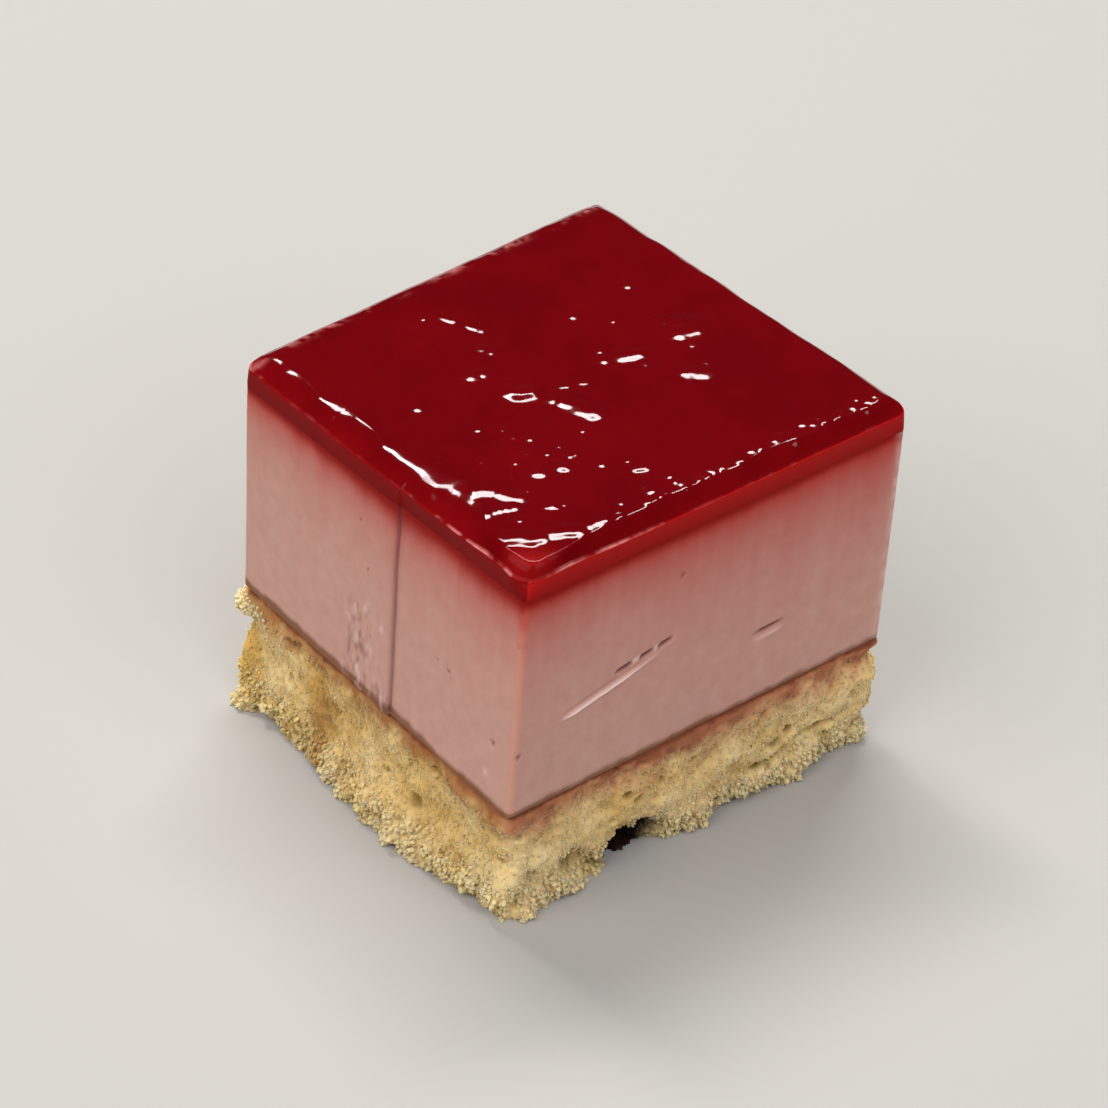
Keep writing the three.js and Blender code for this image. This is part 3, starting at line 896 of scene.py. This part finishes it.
# %% Where the glints lie
SWELLINGS = [   # half width, then the end or ends of the glint, in mm
    (1.25, (3.1, -2.7), (5.2, -2.1)), (1.0, (1.9, -3.2), (2.7, -2.0)), (0.6, (3.6, -1.4)),
    (0.75, (-1.7, -4.2), (-1.5, -3.9)), (1.15, (0.9, 4.3), (1.3, 5.2)), (0.8, (0.2, 3.0)),
    (0.65, (-0.9, 3.6)), (0.7, (2.4, 5.0)), (1.1, (5.4, 6.6), (6.1, 7.7)), (0.7, (5.0, 8.7)),
    (0.85, (-4.1, -6.0)), (0.75, (-4.0, -5.1)), (0.65, (-1.4, 9.8)), (0.7, (-0.7, 9.9)), (0.7, (0.0, 10.0)),
    (1.5, (0.5, 10.3), (0.9, 10.9)), (1.2, (1.2, 9.4), (1.6, 10.6)), (0.65, (2.7, 9.5)),
    (0.7, (-6.6, -3.2), (-6.3, -2.9)), (0.7, (-5.8, -2.9)), (0.5, (-12.5, -4.1)),
    (0.55, (-11.7, -2.9), (-10.9, -2.6)), (0.6, (-9.6, -2.0), (-8.5, -1.6)), (0.75, (-6.3, 10.6)),
    (0.75, (-5.7, 4.8)), (0.5, (-3.5, 6.8)), (0.65, (-3.5, -11.4)), (0.9, (8.9, -7.8)), (0.85, (8.4, -9.6)),
    (0.75, (12.2, -3.7), (12.4, -3.3)), (0.65, (12.1, -11.2)), (0.5, (1.3, -9.6)),
    (0.5, (0.8, -1.6), (1.0, -1.2)), (0.5, (1.3, -0.1), (1.5, 0.2)), (1.0, (7.5, -14.3), (8.6, -13.0)),
    (1.0, (8.7, -13.2), (10.0, -12.6)), (0.75, (10.5, -13.3)), (0.75, (10.35, -13.8)), (0.75, (10.2, -14.3)),
    (0.75, (10.1, -14.8)), (0.75, (10.1, -15.3)), (1.1, (13.4, -15.9), (14.6, -14.6)), (0.9, (14.8, -14.2)),
    (1.1, (14.9, -13.2), (15.6, -11.8)), (0.8, (15.5, -10.6), (15.7, -9.4)),
]
BLISTER = (1.4, (-0.15, -4.95), (0.35, -4.35))
BREAK_DOTS = (-7.9, -4.0, -2.3, 0.2, 4.7, 9.7, 12.3, 13.4, 15.5)   # y, where the right edge breaks

draw = np.random.default_rng(5)
dots = [(0.6, (HALF - 1.75, along)) for along in BREAK_DOTS]
edge_dots = np.column_stack(
    [HALF - draw.normal(1.9, 0.6, 34), draw.uniform(-11, 16, 34), draw.uniform(0.35, 0.65, 34)])
front_dots = draw.uniform([2, -14, 0.3], [14, -3, 0.5], (26, 3))
dots += [(half_width, spot) for *spot, half_width in [*edge_dots, *front_dots]]
print(f"{len(SWELLINGS)} swellings by hand, {len(dots)} dots")

# %% [markdown]
# A swelling h(1 - t^2)^2, with t the distance to its middle line in half widths, is steepest at t = 0.577,
# where its slope is 1.54 h / half width. So h follows from the slope that mirrors the lamp, and the
# swelling is moved away from the eye by 0.577 half widths, to bring its glint to the place asked for.

# %% Swellings
STEEP, STEEPEST = 0.225, 0.33   # slopes of the swellings and of the blister
STEEP_AT, STEEP_SHARE = 0.577, 1.54


def swelling(place, steep, half_width, start, end=None):
    """Height of one swelling at each place: steep / 1.54 * half width * (1 - t^2)^2, never below 0."""
    a, b = np.array(start), np.array(start if end is None else end)
    length = max(np.linalg.norm(b - a), 1e-6)
    if end is not None:
        steep = steep / max(abs((b - a) @ level_right[:2]) / length, 0.7)
    gap = place - a + STEEP_AT * half_width * level_back
    share = np.clip(gap @ (b - a) / length ** 2, 0, 1)
    t = np.linalg.norm(gap - share[..., None] * (b - a), axis=-1) / half_width
    return steep / STEEP_SHARE * half_width * np.clip(1 - t ** 2, 0, 1) ** 2


wander = grid + 0.12 * np.stack([lumps(flat, 0.7, 77), lumps(flat, 0.7, 78)], -1)
bumps = swelling(wander, STEEPEST, *BLISTER)
for listed in SWELLINGS + dots:
    bumps = np.maximum(bumps, swelling(wander, STEEP, *listed))
print(f"swellings to {bumps.max():.2f} mm on {(bumps > 0).mean():.0%} of the top")

# %% [markdown]
# Now the top is put together. Its rim follows the waves and the step of the cut faces below, since one
# blade went through both layers; that push fades out within two millimetres.

# %% Jelly top
plateau = CAKE_TOP - 0.1
top = plateau - fall - corner_fall + ripple * (1 - 0.6 * np.minimum(fall, 1)) + bumps
top = np.minimum(top, CAKE_TOP + 0.15)
plan = grid.copy()
sides = [((0, -1), 1, gy + HALF), ((1, 0), 0, HALF - gx), ((0, 1), 1, HALF - gy), ((-1, 0), 0, gx + HALF)]
for way, axis, inward in sides:
    foot = np.concatenate([grid, np.full_like(grid[..., :1], MOUSSE_TOP)], -1)
    foot[..., axis] = HALF * way[axis]
    push = cut_push(foot, np.broadcast_to(way, grid.shape)) * 0.4 * (1 - soft_step(inward, 0, 2))
    plan += np.array(way) * push[..., None]
top_points = np.concatenate([plan, top[..., None]], -1)
print(f"jelly top {top.min():.1f}..{top.max():.1f} mm")

# %% [markdown]
# The walls hang from the grid's rim: a quarter round, so that the edge catches light, and a run down to a
# foot that is flush with the mousse. Rows of points blend from one plan to the other.

# %% Jelly walls
EDGE_ROWS, WALL_ROWS = 4, 11
n = JELLY_CELLS


def outwards(ring):
    """Outward directions of a closed ring: from neighbour to neighbour, turned by 90 degrees."""
    along = np.roll(ring, -1, 0) - np.roll(ring, 1, 0)
    return np.stack([along[:, 1], -along[:, 0]], -1) / np.linalg.norm(along, axis=1, keepdims=True)


rim = np.concatenate([np.arange(n) * (n + 1), n * (n + 1) + np.arange(n),
                      np.arange(n, 0, -1) * (n + 1) + n, np.arange(n, 0, -1)])
rim_points = top_points.reshape(-1, 3)[rim]
rim_out = outwards(grid.reshape(-1, 2)[rim])
foot_at = rounded_grid(JELLY_CELLS, HALF, CUT_CORNER, CUT_CORNER).reshape(-1, 2)[rim]
foot_out = outwards(foot_at)
foot_push = cut_push(np.column_stack([foot_at, np.full(rim.size, MOUSSE_TOP)]), foot_out)
foot_at = foot_at + foot_out * foot_push[:, None]
arc = np.radians(np.linspace(0, 90, EDGE_ROWS + 1))[1:, None]
share = np.linspace(0, 1, WALL_ROWS + 1)[1:, None]
start = rim_points[:, 2] - EDGE_ROUND
wall_z = np.concatenate([start + EDGE_ROUND * np.cos(arc), start * (1 - share) + MOUSSE_TOP * share])
wall_out = EDGE_ROUND * np.concatenate([np.sin(arc), np.ones_like(share)])[..., None] * rim_out
spread = np.concatenate([0 * arc, np.sin(share * np.pi / 2)])[..., None]
wall_plan = (rim_points[:, :2] + wall_out) * (1 - spread) + foot_at * spread
wall = np.concatenate([wall_plan, wall_z[..., None]], -1)
print(f"jelly walls: {len(wall)} rows of {rim.size} points")

# %% [markdown]
# Faces are only numbers of points: quads over the grid, a ladder of quads down the walls and a fan for the
# underside, all turned to face outwards.

# %% Jelly faces
index = np.arange((n + 1) ** 2).reshape(n + 1, n + 1)
top_quads = np.stack([index[:-1, :-1], index[1:, :-1], index[1:, 1:], index[:-1, 1:]], -1).reshape(-1, 4)
wall_index = index.size + np.arange(len(wall) * rim.size).reshape(len(wall), -1)
ladder = np.concatenate([rim[None], wall_index])
after = np.roll(ladder, -1, 1)
wall_quads = np.stack([ladder[1:], after[1:], after[:-1], ladder[:-1]], -1).reshape(-1, 4)
under = index.size + wall_index.size
fan = np.stack([np.full(rim.size, under), after[-1], ladder[-1]], -1)
upright = np.concatenate([top_points.reshape(-1, 3), wall.reshape(-1, 3), [[0, 0, MOUSSE_TOP]]])
faces = top_quads.tolist() + wall_quads.tolist() + fan.tolist()
print(f"jelly: {len(upright)} points, {len(faces)} faces")

# %% [markdown]
# Four masks go with the jelly. Its cut sides are thin, and the light through them is painted as a brighter
# red, less on the front; it hardly shines where it was cut; its walls are dry; and near the front corner and
# at the -X edge its rim is painted pale pink, partly shreds of jelly, partly a painted highlight.

# %% Where the jelly glows, shines less, is dry, or has a pale rim painted partly as a highlight
# Painted glow: light through the thin cut sides, the shoulders and the worn front corner, weaker on the
# front face.
edge_glow, wall_glow = 0.3 + 0.4 * np.sin(arc), 0.8 - 0.28 * share
side_glow = np.concatenate([edge_glow, wall_glow]) * np.where(rim_out[:, 1] < -0.7, 0.4, 1.0)
corner_glow = 0.3 * (1 - soft_step(corner_gap, 1.5, 4.5))
thin_glow_mask = np.concatenate([np.maximum(0.1 * fall, corner_glow).ravel(), side_glow.ravel(), [0]])

dulled = 0.85 * np.maximum(soft_step(fall, 0.12, 0.45), 1 - soft_step(corner_gap, 1.8, 3.4))
past_break = np.maximum(1 - front_in / (front_width * wavy), 1 - right_in / (right_width * wavy))
corner_dulled = soft_step(past_break, -0.12, 0.0) * (1 - soft_step(corner_gap, 4.5, 6.5))
cut_mask = np.concatenate([np.maximum(dulled, corner_dulled).ravel(), np.ones(wall_index.size), [1]])
dry_rows = np.repeat([0, 1], [EDGE_ROWS, WALL_ROWS])
dry_mask = np.concatenate([np.zeros(gx.size), np.repeat(dry_rows, rim.size), [1]])

# Painted highlight: a pale pink band inside the -X edge and streaks on the rim near the front corner, partly
# torn shreds of jelly.
fray = 0.9 * hump(gx + HALF, 0.75, 0.35).ravel()
fray[rim] = 0.7
fray = np.concatenate([fray, np.repeat([1, 0.7, 0.3, 0], rim.size), np.zeros(WALL_ROWS * rim.size + 1)])
from_front = from_corner(upright, 1, -1)
fray *= np.maximum(1 - 0.9 * soft_step(from_front, 7, 15), 0.8 * (upright[:, 0] < -HALF + 2))
fray *= soft_step(lumps(upright, 1.3, 81) + 0.7 * lumps(upright, 0.4, 82), -0.3, 0.9)
print(f"frayed: {(fray > 0.3).mean():.1%} of the points")

# %% [markdown]
# Only now is the jelly settled into the uneven block, as the last of the layers.

# %% Jelly piece
jelly = make_piece("jelly_top", settle(upright), faces, jelly_finish, "jelly",
                   thin=thin_glow_mask, cut=cut_mask, dry=dry_mask, frayed=fray)
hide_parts("jelly")
